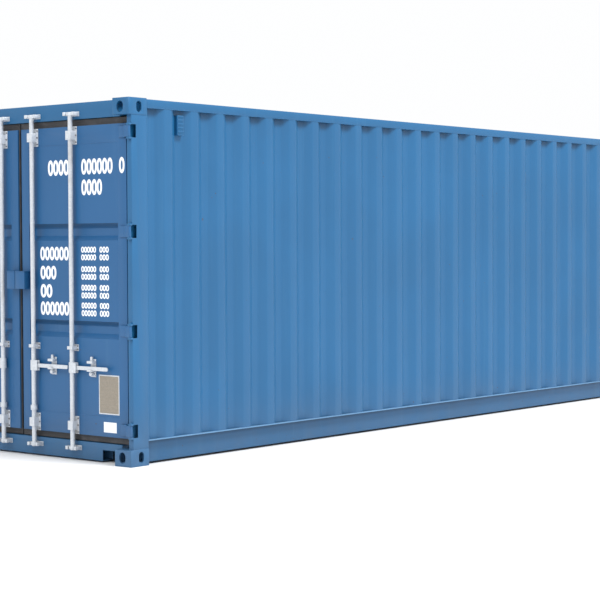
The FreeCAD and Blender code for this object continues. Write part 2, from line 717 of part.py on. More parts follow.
def leaf_gasket(side, sign):
    """The rubber seal round the leaf's edge."""
    name = f"{side}_door_gasket"
    y = (rear(dims.gasket_front), rear(dims.gasket_back))
    ring = block(f"{name}_ring", span(sign, dims.gasket_gap, gasket_x), y, (gasket_bottom, gasket_top))
    hole = block(f"{name}_hole", span(sign, dims.leaf_inner_edge, leaf_outer),
                 (rear(dims.gasket_front - 5), rear(dims.gasket_back + 5)), (leaf_bottom, leaf_top))
    node(name, cut(name, ring, hole))


def hinge_blades(side, sign):
    """Four cranked blades from the leaf's face out to the pins."""
    blades = []
    back, thick, front_y = dims.leaf_face, dims.blade_thick, dims.blade_front
    heel = leaf_outer - dims.blade_lap
    crank = leaf_outer - dims.blade_crank
    reach = opening_x - dims.blade_reach
    outline = [(heel, back), (heel, back - thick), (crank, back - thick), (reach, front_y), (pin_x, front_y),
               (pin_x, front_y + thick), (reach + thick / 2, front_y + thick), (crank + thick / 2, back)]
    corners = [(sign * across, rear(depth)) for across, depth in outline]
    for key, height in HINGES.items():
        name = f"{side}_blade_{key}"
        low, high = about(height, dims.blade_tall / 2)
        strap = prism(f"{name}_strap", "XY", corners, low, high)
        place = (sign * pin_x, rear(dims.pin_depth), low)
        knuckle = round_bar(f"{name}_knuckle", "z", dims.knuckle_radius, place, high - low)
        hole = round_bar(f"{name}_hole", "z", dims.pin_radius + dims.pin_play, place, high - low)
        blades.append(cut(name, fuse(f"{name}_solid", strap, knuckle), hole))
    node(f"{side}_door_hinges", *blades)


def bar_bracket(name, sign, place, height, tall, face, plate_wide):
    """A bearing for a locking bar: a plate on the leaf and a block with a running bore."""
    plate_y = (rear(face - dims.bracket_plate), rear(face))
    x_middle = sign * place
    plate = block(f"{name}_plate", about(x_middle, plate_wide / 2), plate_y, about(height, tall / 2))
    z = about(height, tall / 4)
    nearest = dims.bar_depth - dims.bar_radius - dims.bracket_front_wall
    body = block(f"{name}_block", about(x_middle, dims.bar_radius + dims.bracket_wall),
                 (rear(nearest), rear(face - dims.bracket_plate)), z)
    bore = round_bar(f"{name}_bore", "z", dims.bar_radius + dims.bore_play,
                     (x_middle, rear(dims.bar_depth), height - tall / 2), tall)
    return cut(name, fuse(f"{name}_solid", plate, body), bore)


def bar_brackets(side, sign):
    """Upper, middle and lower bearings of both bars of a leaf."""
    brackets = []
    levels = {"upper": leaf_top - dims.bracket_from_end, "lower": leaf_bottom + dims.bracket_from_end}
    for bar, place in BARS.items():
        for level, height in levels.items():
            brackets.append(bar_bracket(f"{side}_{bar}_{level}_bracket", sign, place, height,
                                        dims.bracket_tall, dims.leaf_face, dims.bracket_wide))
        brackets.append(bar_bracket(f"{side}_{bar}_guide", sign, place, dims.guide_middle, dims.guide_tall,
                                    panel_face, dims.bracket_wide))
    node(f"{side}_bar_brackets", *brackets)


def locking_bar(side, sign, bar, place):
    """A locking bar with its cams, handle hub and, on the inner bar, a collar."""
    name = f"{side}_{bar}_bar"
    x_middle, y_middle = sign * place, rear(dims.bar_depth)
    foot = lower_keeper - dims.cam_tall / 2 - dims.bar_foot
    tube = round_bar(f"{name}_tube", "z", dims.bar_radius, (x_middle, y_middle, foot),
                     upper_keeper + dims.cam_tall / 2 - foot)
    pieces = [tube]
    for level, height in (("upper", upper_keeper), ("lower", lower_keeper)):
        z = about(height, dims.cam_tall / 2)
        hub = round_bar(f"{name}_{level}_cam_hub", "z", dims.bar_radius + dims.cam_wall,
                        (x_middle, y_middle, z[0]), z[1] - z[0])
        nose_x = span(-sign, as_size(0), dims.cam_radius)
        nose = block(f"{name}_{level}_nose", (nose_x[0] + x_middle, nose_x[1] + x_middle),
                     about(y_middle, dims.cam_thick / 2), z)
        pieces += [hub, nose]
    hub_z = about(dims.handle_middle, dims.hub_tall / 2)
    pieces.append(round_bar(f"{name}_hub", "z", hub_radius, (x_middle, y_middle, hub_z[0]),
                            hub_z[1] - hub_z[0]))
    cheek_x = span(sign, as_size(0), cheek_reach)
    cheeks = block(f"{name}_cheeks", (cheek_x[0] + x_middle, cheek_x[1] + x_middle),
                   about(y_middle, cheek_half), hub_z)
    if bar == "inner":
        collar_z = about(dims.collar_middle, dims.collar_tall / 2)
        pieces.append(round_bar(f"{name}_collar", "z", dims.bar_radius + dims.collar_wall,
                                (x_middle, y_middle, collar_z[0]), collar_z[1] - collar_z[0]))
    fork_x = span(sign, hub_radius - 4, cheek_reach + 1)
    fork = block(f"{name}_fork", (fork_x[0] + x_middle, fork_x[1] + x_middle),
                 about(y_middle, cheek_half - dims.cheek_thick), (hub_z[0] - 1, hub_z[1] + 1))
    solid = cut(f"{name}_forked", fuse(f"{name}_solid", *pieces, cheeks), fork)
    pin = round_bar(f"{name}_pin", "y", dims.handle_pin,
                    (x_middle + sign * handle_pivot, y_middle - cheek_half, dims.handle_middle),
                    cheek_half * 2)
    node(name, fuse(name, solid, pin))


def handle(side, sign, bar, place):
    """A flat handle that pivots on the hub's pin and points towards the hinges."""
    name = f"{side}_{bar}_handle"
    x_middle, y_middle = sign * place, rear(dims.bar_depth)
    pivot_x = x_middle + sign * handle_pivot
    half = dims.handle_tall / 2
    y = about(y_middle, dims.handle_thick / 2)
    thick = dims.handle_thick
    z = about(dims.handle_middle, half)
    grip_x = span(sign, handle_pivot, dims.handle_reach - half)
    bar_piece = block(f"{name}_flat", (grip_x[0] + x_middle, grip_x[1] + x_middle), y, z)
    eye = round_bar(f"{name}_eye", "y", half, (pivot_x, y[0], dims.handle_middle), thick)
    tip_x = x_middle + sign * (dims.handle_reach - half)
    tip = round_bar(f"{name}_tip", "y", half, (tip_x, y[0], dims.handle_middle), thick)
    hole = round_bar(f"{name}_hole", "y", dims.handle_pin + dims.pin_play,
                     (pivot_x, y[0], dims.handle_middle), thick)
    node(name, cut(name, fuse(f"{name}_solid", bar_piece, eye, tip), hole))


def handle_retainers(side, sign):
    """A plate with a ledge under each handle and a catch block above it."""
    retainers = []
    for bar, place in BARS.items():
        name = f"{side}_{bar}_retainer"
        x = about(sign * (place + dims.retainer_at), dims.retainer_wide / 2)
        back = panel_face
        plate_front = back - dims.retainer_plate
        middle = dims.handle_middle
        plate = block(f"{name}_plate", x, (rear(plate_front), rear(back)),
                      (middle - dims.retainer_bottom, middle + dims.retainer_top))
        ledge_top = middle - dims.handle_tall / 2 - dims.ledge_gap
        ledge_front = dims.bar_depth - dims.handle_thick / 2 - 6
        ledge = block(f"{name}_ledge", x, (rear(ledge_front), rear(plate_front)),
                      (ledge_top - dims.ledge_thick, ledge_top))
        catch_low = middle + dims.handle_tall / 2 + dims.catch_lift
        catch = block(f"{name}_catch", x, (rear(dims.catch_front), rear(plate_front)),
                      (catch_low, catch_low + dims.catch_tall))
        retainers.append(fuse(name, plate, ledge, catch))
    node(f"{side}_handle_retainers", *retainers)


def lock_box():
    """The padlock box where the leaves meet, split at the meeting line, open below."""
    skin = dims.box_skin
    halves = (("right_lock_box", 1, dims.box_right), ("left_lock_box", -1, dims.box_left))
    for name, sign, outer in halves:
        z = (dims.box_bottom, dims.box_top)
        y = (rear(dims.box_front), rear(dims.leaf_face))
        shell = block(f"{name}_shell", span(sign, dims.box_inner, outer), y, z)
        hollow = block(f"{name}_hollow", span(sign, as_size(-1), outer - skin),
                       (rear(dims.box_front + skin), rear(dims.leaf_face + 1)),
                       (dims.box_bottom - 1, dims.box_top - skin))
        staple_x = span(sign, dims.staple_from_edge, dims.staple_from_edge + dims.staple_wide)
        middle = (dims.box_bottom + dims.box_top) / 2
        staple = block(f"{name}_staple", staple_x, (rear(dims.box_front + skin + 8), rear(dims.leaf_face)),
                       about(middle, dims.staple_wide))
        node(name, cut(f"{name}_half", shell, hollow), staple)


def plates():
    """The bare data plate and notice on the right leaf."""
    y_low = rear(panel_face - dims.plate_thick)
    plate_x, plate_z = panel_outer - dims.plate_from_stile, panel_low + dims.plate_over_rail
    notice_x, notice_z = panel_outer - dims.notice_from_stile, leaf_bottom + dims.notice_from_foot
    node("data_plate", block("data_plate", (plate_x - dims.plate_wide, plate_x), (y_low, rear(panel_face)),
                             (plate_z, plate_z + dims.plate_tall)))
    node("notice_label", block("notice_label", (notice_x - dims.notice_wide, notice_x),
                               (rear(dims.leaf_face - dims.notice_thick), rear(dims.leaf_face)),
                               (notice_z, notice_z + dims.notice_tall)))


# ---- the assembly

four_castings("top_corner_castings", lambda up: dims.ext_height - up)
four_castings("bottom_corner_castings", as_size)
pair("rear_corner_posts", rear_post("right"))
pair("front_corner_posts", front_post())
pair("top_side_rails", top_rail())
pair("bottom_side_rails", bottom_rail())
node("rear_header", rear_header())
node("rear_sill", rear_sill())
node("front_header", front_header())
node("front_sill", front_sill())
side_wall("right_side_wall", 1)
side_wall("left_side_wall", -1)
front_wall()
roof()
node("floor", floor())
node("gooseneck_tunnel", gooseneck_tunnel(crossmembers()))
hinge_ears()
keepers()
ventilators()
for side, sign in SIDES.items():
    leaf_frame(side, sign)
    leaf_panel(side, sign)
    leaf_gasket(side, sign)
    hinge_blades(side, sign)
    bar_brackets(side, sign)
    handle_retainers(side, sign)
    for bar, place in BARS.items():
        locking_bar(side, sign, bar, place)
        handle(side, sign, bar, place)
lock_box()
plates()

doc.recompute()
faults = [item.Name for item in doc.Objects if {"Invalid", "Error"} & set(item.State)]
if faults:
    raise RuntimeError(f"features that failed: {faults}")
for name, piece in nodes.items():
    if piece.Shape.isNull() or not piece.Shape.isValid():
        raise RuntimeError(f"{name} has no valid shape")
for name, piece in nodes.items():
    piece.Shape.exportStep(f"parts/{name}.step")
    print(f"{name}: {len(piece.Shape.Solids)} solids, {piece.Shape.Volume / 1e6:.1f} dm3")
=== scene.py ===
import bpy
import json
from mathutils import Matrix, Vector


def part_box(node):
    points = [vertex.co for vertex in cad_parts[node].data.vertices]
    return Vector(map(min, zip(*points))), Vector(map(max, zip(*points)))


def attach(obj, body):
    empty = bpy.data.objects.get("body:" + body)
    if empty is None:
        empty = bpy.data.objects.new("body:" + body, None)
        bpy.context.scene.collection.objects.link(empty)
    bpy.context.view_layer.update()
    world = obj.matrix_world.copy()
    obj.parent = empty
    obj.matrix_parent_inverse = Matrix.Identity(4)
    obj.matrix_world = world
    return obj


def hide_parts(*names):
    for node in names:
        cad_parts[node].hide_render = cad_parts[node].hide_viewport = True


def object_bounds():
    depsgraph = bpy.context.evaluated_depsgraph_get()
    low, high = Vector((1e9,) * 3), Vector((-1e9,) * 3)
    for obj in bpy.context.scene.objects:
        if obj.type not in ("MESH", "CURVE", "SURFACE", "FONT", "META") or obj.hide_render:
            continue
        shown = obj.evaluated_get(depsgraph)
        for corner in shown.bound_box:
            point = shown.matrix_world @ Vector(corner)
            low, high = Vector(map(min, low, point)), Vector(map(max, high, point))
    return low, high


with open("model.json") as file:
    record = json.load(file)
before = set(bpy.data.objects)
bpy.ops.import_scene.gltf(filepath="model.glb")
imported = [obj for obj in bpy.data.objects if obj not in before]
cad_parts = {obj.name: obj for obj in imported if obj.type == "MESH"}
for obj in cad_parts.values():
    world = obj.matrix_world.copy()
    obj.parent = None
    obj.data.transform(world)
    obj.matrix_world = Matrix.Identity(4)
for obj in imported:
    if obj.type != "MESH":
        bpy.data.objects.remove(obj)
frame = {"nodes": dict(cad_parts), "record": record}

# %% [markdown]
# The frame comes first. The imported model holds every steel piece of the container at its real size, in
# metres, with the doors at the low end of Y. Everything below is placed from it, so nothing has to be
# fitted by eye. The box it fills is kept, and its corners give the two ends of the container.

# %% The frame's box
cad_box = [list(corner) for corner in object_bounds()]

import bpy
import json
import math
from mathutils import Euler, Matrix, Vector

scene = bpy.context.scene
bodies = frame["record"]["behaviour"]["bodies"]
body_of = {node: body for body, nodes in bodies.items() for node in nodes}
low_corner, high_corner = (Vector(corner) for corner in cad_box)
door_end = low_corner.y
print("container", [round(size, 3) for size in high_corner - low_corner])

# %% [markdown]
# A camera with a long lens stands about twelve metres from the near corner, at eye height, and sees
# the door end and the right side. Its tilt and roll are small, as with a camera held by hand.

# %% Camera
EYE = (9.68, -14.45, 1.57)
HEADING, TILT, ROLL = math.radians(39.64), math.radians(1.93), math.radians(0.24)
LENS = 101.8

bpy.ops.object.camera_add(location=EYE)
camera = bpy.context.object
facing = Euler((math.pi / 2 - TILT, 0, HEADING)).to_matrix() @ Matrix.Rotation(-ROLL, 3, "Z")
camera.rotation_euler = facing.to_euler()
camera.data.lens = LENS
camera.data.clip_end = 200
scene.camera = camera

# %% [markdown]
# Soft light shows sheet metal best. A pale sky lights the box all round. A broad lamp high on the right
# makes the side brighter than the door end, and a weaker one in front of the doors lights the locking
# gear and the lower slopes of the grooves.

# %% Light and floor
def area_light(name, place, target, size, power):
    """A square lamp that faces a point."""
    bpy.ops.object.light_add(type="AREA", location=place)
    lamp = bpy.context.object
    lamp.name = name
    lamp.data.shape = "SQUARE"
    lamp.data.size = size
    lamp.data.energy = power
    lamp.rotation_euler = (Vector(target) - Vector(place)).to_track_quat("-Z", "Y").to_euler()


world = bpy.data.worlds.new("pale sky")
world.use_nodes = True
scene.world = world
sky = world.node_tree.nodes["Background"]
sky.inputs["Color"].default_value = (0.99, 0.995, 1.0, 1.0)
sky.inputs["Strength"].default_value = 1.0
area_light("broad lamp", (15, -3, 23), (0.6, 0, 1), size=8, power=7600)
area_light("door lamp", (0, -19, 16), (0, -6, 1.2), size=8, power=1500)
scene.view_settings.view_transform = "Standard"

bpy.ops.mesh.primitive_plane_add(size=160)
floor = bpy.context.object
floor.name = "pale_floor"

# %% [markdown]
# Shader sums read best as sums. The class below wraps a socket, so that `1 - mask * 0.3` adds the two
# Math nodes it needs. A finish adds every other node through one method.

# %% Shader helpers
class Value:
    """A number that varies over a surface, with the usual signs."""

    def __init__(self, finish, socket):
        self.finish = finish
        self.socket = socket

    def maths(self, operation, first, second=0.0):
        return self.finish.add("ShaderNodeMath", {"operation": operation}, {0: first, 1: second})

    def __add__(self, other):
        return self.maths("ADD", self, other)

    __radd__ = __add__

    def __sub__(self, other):
        return self.maths("SUBTRACT", self, other)

    def __rsub__(self, other):
        return self.maths("SUBTRACT", other, self)

    def __mul__(self, other):
        return self.maths("MULTIPLY", self, other)

    __rmul__ = __mul__

    def __truediv__(self, other):
        return self.maths("DIVIDE", self, other)

    def __gt__(self, other):
        return self.maths("GREATER_THAN", self, other)

    def __lt__(self, other):
        return self.maths("LESS_THAN", self, other)

    def fraction(self):
        """What is left above the whole number."""
        return self.maths("FRACT", self)

    def magnitude(self):
        """The value without its sign."""
        return self.maths("ABSOLUTE", self)

    def larger(self, other):
        """The larger of two values."""
        return self.maths("MAXIMUM", self, other)


class Finish:
    """A material whose nodes are all added by one method."""

    def __init__(self, name, roughness=0.5, metallic=0.0):
        self.material = bpy.data.materials.new(name)
        self.material.use_nodes = True
        self.nodes = self.material.node_tree.nodes
        self.links = self.material.node_tree.links
        self.shader = self.nodes["Principled BSDF"]
        self.shader.inputs["Roughness"].default_value = roughness
        self.shader.inputs["Metallic"].default_value = metallic
        self.place = self.add("ShaderNodeTexCoord", output="Object")

    def add(self, kind, settings=None, inputs=None, output=0):
        """Adds a node, sets it, joins or fills its sockets, and returns one output."""
        node = self.nodes.new(kind)
        for key, value in (settings or {}).items():
            setattr(node, key, value)
        for key, value in (inputs or {}).items():
            if isinstance(value, Value):
                self.links.new(value.socket, node.inputs[key])
            else:
                node.inputs[key].default_value = value
        return Value(self, node.outputs[output])

    def stretched(self, scale):
        """The object's own coordinates, scaled along each axis."""
        return self.add("ShaderNodeMapping", None, {"Vector": self.place, "Scale": scale})

    def noise(self, scale, detail=3.0, stretch=(1, 1, 1), rough=0.55):
        """Cloudy noise from 0 to 1."""
        where = self.place if stretch == (1, 1, 1) else self.stretched(stretch)
        inputs = {"Vector": where, "Scale": scale, "Detail": detail, "Roughness": rough}
        return self.add("ShaderNodeTexNoise", None, inputs)

    def between(self, value, low, high):
        """0 below low, 1 above high, smooth between."""
        settings = {"interpolation_type": "SMOOTHSTEP", "clamp": True}
        return self.add("ShaderNodeMapRange", settings, {"Value": value, "From Min": low, "From Max": high})

    def blend(self, factor, first, second):
        """A colour between two colours."""
        return self.add("ShaderNodeMix", {"data_type": "RGBA"}, {0: factor, 6: first, 7: second}, output=2)

    def axis(self, letter):
        """One of the object's own coordinates, in metres."""
        return self.add("ShaderNodeSeparateXYZ", None, {0: self.place}, output="XYZ".index(letter))

    def feed(self, socket, value):
        """Joins a value to a socket of the surface shader."""
        self.links.new(value.socket, self.shader.inputs[socket])

    def bump(self, height, distance, strength, normal=None):
        """Raises the surface by a height map."""
        inputs = {"Height": height, "Distance": distance, "Strength": strength}
        if normal:
            inputs["Normal"] = normal
        return self.add("ShaderNodeBump", None, inputs)


def tone(red, green, blue, share=1.0):
    """A colour with its alpha, lighter or darker by a share."""
    return (red * share, green * share, blue * share, 1.0)

# %% [markdown]
# Container paint is thick, a little glossy and never quite even: it fades in patches, rain leaves
# upright streaks, dust gathers low down, and knocks leave small dark chips. All of it comes from noise
# in the object's own coordinates, some stretched upright. A Bevel node rounds the edges in the shading
# as well, because folded steel has no sharp edge.

# %% Paint
DUST = (0.12, 0.13, 0.15, 1.0)
PRIMER = (0.09, 0.05, 0.035, 1.0)
DUST_TOP = 0.5
EDGE_RADIUS = 0.0025


def paint(name, blue, roughness=0.42, painted_shade=None):
    """Sprayed container paint in one blue; the mask given last paints bands of shade in a darker blue."""
    finish = Finish(name, roughness)
    clouds = finish.noise(0.9, 4)
    streaks = finish.noise(1.0, 5, (14, 14, 0.55))
    colour = finish.blend(finish.between(clouds, 0.35, 0.68), tone(*blue, 0.95), tone(*blue, 1.05))
    pale = (blue[0] * 1.5 + 0.02, blue[1] * 1.22 + 0.02, blue[2] * 1.1 + 0.02, 1.0)
    colour = finish.blend(finish.between(streaks, 0.55, 0.8) * 0.3, colour, pale)
    low_dust = (1 - finish.between(finish.axis("Z"), 0.02, DUST_TOP)) * finish.noise(6, 4)
    colour = finish.blend(low_dust * 0.35, colour, DUST)
    knocked_about = finish.between(finish.noise(2.3, 2), 0.5, 0.62)
    chips = finish.between(finish.noise(38, 2), 0.735, 0.75) * knocked_about
    colour = finish.blend(chips * 0.8, colour, PRIMER)
    # Painted shade: where the mask is high, the colour turns to a darker tone of the same blue.
    if painted_shade:
        colour = finish.blend(painted_shade(finish), colour, tone(*blue, 0.35))
    finish.feed("Base Color", colour)
    finish.feed("Roughness", roughness - 0.08 + finish.noise(5, 3) * 0.16 + low_dust * 0.2 + chips * 0.3)
    rounded = finish.add("ShaderNodeBevel", {"samples": 4}, {"Radius": EDGE_RADIUS})
    peel = finish.bump(finish.noise(210, 1) - chips, 0.0003, 0.35, rounded)
    finish.feed("Normal", finish.bump(finish.noise(2.6, 2), 0.012, 0.25, peel))
    return finish.material


BODY_BLUE = (0.008, 0.1, 0.238)
DOOR_BLUE = (0.01, 0.09, 0.232)
body_paint = paint("body paint", BODY_BLUE)
door_paint = paint("door paint", DOOR_BLUE)
# A lighter blue for the bottom rail's proud edge: a painted highlight.
edge_highlight_paint = paint("edge highlight paint", (0.1, 0.24, 0.42), 0.5)

# %% [markdown]
# Shade is painted into three bands: on the bottom rail's web below its flange, in the tops of the side
# sheet's recesses under the top rail, and under the upper lip of each groove in the doors. Each of these
# three has its own paint, in which a mask darkens a band at that height to a darker blue.

# %% Paint with painted shade
FLANGE_BAND = (0.135, 0.17)
RECESS_BAND = (2.45, 2.52)
RECESS_FLOOR, RECESS_EDGE = 1.178, 1.2
GROOVES = (0.951, 1.654)
GROOVE_HALF = 0.062
LIP_BAND = (0.02, 0.045)


def shade_under_flange(finish):
    """Painted shade just below the bottom rail's flange."""
    return finish.between(finish.axis("Z"), *FLANGE_BAND) * 0.75


def shade_under_top_rail(finish):
    """Painted shade in the upper ends of the side sheet's recesses, under the top rail."""
    recess = 1 - finish.between(finish.axis("X").magnitude(), RECESS_FLOOR, RECESS_EDGE)
    return finish.between(finish.axis("Z"), *RECESS_BAND) * recess * 0.6


def shade_under_lips(finish):
    """Painted shade under the upper lip of each groove in a door."""
    height = finish.axis("Z")
    start, full = LIP_BAND
    lower, upper = (finish.between(height, groove + start, groove + full) * (height < groove + GROOVE_HALF)
                    for groove in GROOVES)
    return (lower + upper) * 0.65


# Rail, wall and door panel paints, each with a band of painted shade.
rail_paint = paint("rail paint", BODY_BLUE, painted_shade=shade_under_flange)
wall_paint = paint("wall paint", BODY_BLUE, painted_shade=shade_under_top_rail)
panel_paint = paint("door panel paint", DOOR_BLUE, painted_shade=shade_under_lips)

# %% [markdown]
# The locking gear is dipped in zinc. Zinc sets in flat crystals, which show as patches that differ a
# little in brightness, so Voronoi cells drive the colour and the roughness.

# %% Zinc
CRYSTALS_PER_METRE = 90.0
STAIN = (0.36, 0.33, 0.3, 1.0)


def zinc(name, dull, bright):
    """Hot-dip galvanised steel, dulled by weather."""
    finish = Finish(name, 0.45, 0.25)
    cells = {"Vector": finish.place, "Scale": CRYSTALS_PER_METRE}
    crystals = finish.add("ShaderNodeTexVoronoi", None, cells, output="Color")
    grain = finish.add("ShaderNodeSeparateColor", None, {0: crystals})
    stains = finish.between(finish.noise(7, 4, (1, 1, 0.4)), 0.56, 0.75)
    colour = finish.blend(grain, dull, bright)
    colour = finish.blend(stains * 0.45, colour, STAIN)
    finish.feed("Base Color", colour)
    finish.feed("Roughness", 0.36 + grain * 0.12 + stains * 0.2)
    finish.feed("Normal", finish.bump(finish.noise(160, 2), 0.0004, 0.4))
    return finish.material


zinc_finish = zinc("galvanised steel", (0.52, 0.555, 0.6, 1.0), (0.6, 0.63, 0.67, 1.0))
bolt_finish = zinc("bolt zinc", (0.16, 0.16, 0.17, 1.0), (0.24, 0.24, 0.25, 1.0))

# %% [markdown]
# The door seal is black rubber: dull, with dust in its pores. The floor is hardwood plywood laid in
# sheets, with grain along the box, dark seams and forklift scuffs.

# %% Rubber, plywood, plates
def rubber():
    """Weathered black rubber."""
    finish = Finish("seal rubber", 0.72)
    dust = finish.between(finish.noise(9, 5), 0.45, 0.75)
    finish.feed("Base Color", finish.blend(dust, (0.02, 0.02, 0.023, 1.0), (0.06, 0.06, 0.066, 1.0)))
    finish.feed("Roughness", 0.6 + dust * 0.25)
    finish.feed("Normal", finish.bump(finish.noise(320, 2), 0.0003, 0.5))
    return finish.material


SHEET_LENGTH, SHEET_WIDTH = 2.4, 1.164


def plywood():
    """Varnished plywood sheets with seams and scuffs."""
    finish = Finish("floor plywood", 0.5)
    grain = finish.noise(9, 6, (9, 0.7, 1))
    colour = finish.blend(grain, (0.13, 0.062, 0.028, 1.0), (0.36, 0.2, 0.1, 1.0))
    across = (finish.axis("Y") / SHEET_LENGTH + 0.5).fraction()
    along = (finish.axis("X") / SHEET_WIDTH).fraction()
    near_end = (across - 0.5).magnitude() > 0.4985
    near_side = (along - 0.5).magnitude() > 0.497
    seam = near_end.larger(near_side)
    scuffs = finish.between(finish.noise(3, 6, (5, 1, 1)), 0.57, 0.72)
    colour = finish.blend(scuffs * 0.5, colour, (0.2, 0.17, 0.14, 1.0))
    colour = finish.blend(seam, colour, (0.02, 0.015, 0.012, 1.0))
    finish.feed("Base Color", colour)
    finish.feed("Roughness", 0.42 + scuffs * 0.35 + grain * 0.1)
    finish.feed("Normal", finish.bump(grain * 0.4 - seam, 0.001, 0.6))
    return finish.material


def plate_metal():
    """A dull etched plate with faint rows."""
    finish = Finish("bare plate", 0.5, 0.3)
    speckle = finish.noise(120, 3)
    rows = (finish.axis("Z") * 38).fraction() > 0.9
    colour = finish.blend(speckle, (0.2, 0.17, 0.135, 1.0), (0.36, 0.325, 0.27, 1.0))
    finish.feed("Base Color", finish.blend(rows * 0.25, colour, (0.16, 0.17, 0.15, 1.0)))
    finish.feed("Roughness", 0.42 + speckle * 0.2)
    finish.feed("Normal", finish.bump(speckle - rows, 0.0003, 0.6))
    return finish.material


def film(name, shade):
    """Printed film or stencil paint in one pale shade, slightly worn."""
    finish = Finish(name, 0.5)
    wear = finish.between(finish.noise(45, 4), 0.6, 0.78)
    finish.feed("Base Color", finish.blend(wear * 0.35, (*shade, 1.0), (0.4, 0.46, 0.55, 1.0)))
    finish.feed("Roughness", 0.45 + wear * 0.25)
    finish.feed("Normal", finish.bump(finish.noise(260, 1), 0.0002, 0.3))
    return finish.material


rubber_finish = rubber()
ply_finish = plywood()
plate_finish = plate_metal()
label_finish = film("label film", (0.8, 0.82, 0.84))
stencil_finish = film("stencil white", (0.82, 0.84, 0.87))

floor_finish = Finish("studio floor", 0.9)
floor_finish.shader.inputs["Base Color"].default_value = (0.72, 0.72, 0.72, 1.0)
floor.data.materials.append(floor_finish.material)

FINISHES = {"container_paint": body_paint, "door_paint": door_paint, "galvanised_steel": zinc_finish,
            "door_rubber": rubber_finish, "floor_plywood": ply_finish, "vent_plastic": body_paint,
            "bare_plate": plate_finish, "white_label": label_finish}
slot_of = {part["node"]: part["material_slot"] for part in frame["record"]["subparts"]}
finish_of = {node: FINISHES[slot] for node, slot in slot_of.items()}
finish_of.update(bottom_side_rails=rail_paint, right_door_panel=panel_paint, left_door_panel=panel_paint)
for node, piece in frame["nodes"].items():
    piece.data.materials.clear()
    piece.data.materials.append(finish_of[node])
print(len(slot_of), "frame nodes painted")

# %% [markdown]
# New pieces are modelled as by hand. The helpers below do what a modeller does again and again: clear
# the selection, add a block, round its edges, copy it, join the copies and hang them on a body.

# %% Modelling helpers
def clear_selection():
    """Leaves nothing selected, in object mode."""
    if bpy.context.mode != "OBJECT":
        bpy.ops.object.mode_set(mode="OBJECT")
    bpy.ops.object.select_all(action="DESELECT")


def settle(piece):
    """Puts the piece's place, turn and size in its mesh."""
    clear_selection()
    piece.select_set(True)
    bpy.context.view_layer.objects.active = piece
    bpy.ops.object.transform_apply(location=True, rotation=True, scale=True)
    return piece


def block(name, low, high, rounding=0.0, segments=2):
    """A block between two corners, with rounded edges."""
    clear_selection()
    low, high = Vector(low), Vector(high)
    low, high = Vector(map(min, low, high)), Vector(map(max, low, high))
    bpy.ops.mesh.primitive_cube_add(size=1, location=(low + high) / 2, scale=high - low)
    piece = bpy.context.object
    piece.name = name
    settle(piece)
    return round_edges(piece, rounding, segments) if rounding else piece


def drum(name, place, radius, depth, turn=(0, 0, 0), sides=20, rounding=0.0):
    """A cylinder about a place, turned from upright."""
    clear_selection()
    bpy.ops.mesh.primitive_cylinder_add(vertices=sides, radius=radius, depth=depth,
                                        location=place, rotation=turn)
    piece = bpy.context.object
    piece.name = name
    settle(piece)
    return round_edges(piece, rounding, 2) if rounding else piece


def apply_modifier(piece, kind, **settings):
    """Adds a modifier and applies it at once."""
    clear_selection()
    piece.select_set(True)
    bpy.context.view_layer.objects.active = piece
    modifier = piece.modifiers.new(kind.lower(), kind)
    for key, value in settings.items():
        setattr(modifier, key, value)
    bpy.ops.object.modifier_apply(modifier=modifier.name)
    return piece


def round_edges(piece, width, segments=2, angle=30):
    """Bevels every edge that turns by more than an angle."""
    return apply_modifier(piece, "BEVEL", width=width, segments=segments, limit_method="ANGLE",
                          angle_limit=math.radians(angle), use_clamp_overlap=True)


def smooth(piece, angle=35):
    """Smooth shading, apart from real edges."""
    clear_selection()
    piece.select_set(True)
    bpy.context.view_layer.objects.active = piece
    bpy.ops.object.shade_smooth_by_angle(angle=math.radians(angle))
    return piece


def join(name, parts):
    """One object from several."""
    clear_selection()
    for part in parts:
        part.select_set(True)
    bpy.context.view_layer.objects.active = parts[0]
    bpy.ops.object.join()
    parts[0].name = name
    return parts[0]


def copies(name, first, places):
    """One object from copies of a piece made at the origin, each with its own mesh."""
    made = []
    for place in places:
        twin = first.copy()
        twin.data = first.data.copy()
        bpy.context.collection.objects.link(twin)
        twin.location = place
        made.append(settle(twin))
    return join(name, made)


def finished(piece, material, body, slot, *replaced):
    """Paints a piece, smooths it, hangs it on a body and hides the frame nodes it stands for."""
    piece.data.materials.clear()
    piece.data.materials.append(material)
    smooth(piece)
    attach(piece, body)
    if replaced:
        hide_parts(*replaced)
    print(piece.name, len(piece.data.polygons), "faces")
    return piece


SIDES = {"right": 1, "left": -1}

# %% [markdown]
# The frame's steel has knife edges. Rolled and folded steel doesn't, so each frame node that shows
# gets a copy whose doubles are merged, whose flat faces are joined again, and whose edges are then
# bevelled. The copy stands for the node, which keeps its place in the simulation.

# %% Rounded copies of the frame's steel
DOUBLES_WITHIN = 0.00002


def rounded_copy(node, width):
    """A copy of a frame node with rounded edges."""
    source = frame["nodes"][node]
    twin = source.copy()
    twin.data = source.data.copy()
    twin.parent = None
    bpy.context.collection.objects.link(twin)
    twin.matrix_world = Matrix.Identity(4)
    twin.name = f"{node}_rounded"
    clear_selection()
    twin.select_set(True)
    bpy.context.view_layer.objects.active = twin
    bpy.ops.object.mode_set(mode="EDIT")
    bpy.ops.mesh.select_all(action="SELECT")
    bpy.ops.mesh.remove_doubles(threshold=DOUBLES_WITHIN)
    bpy.ops.mesh.dissolve_limited(angle_limit=math.radians(1))
    bpy.ops.object.mode_set(mode="OBJECT")
    round_edges(twin, width, angle=35)
    return finished(twin, finish_of[node], body_of[node], slot_of[node], node)


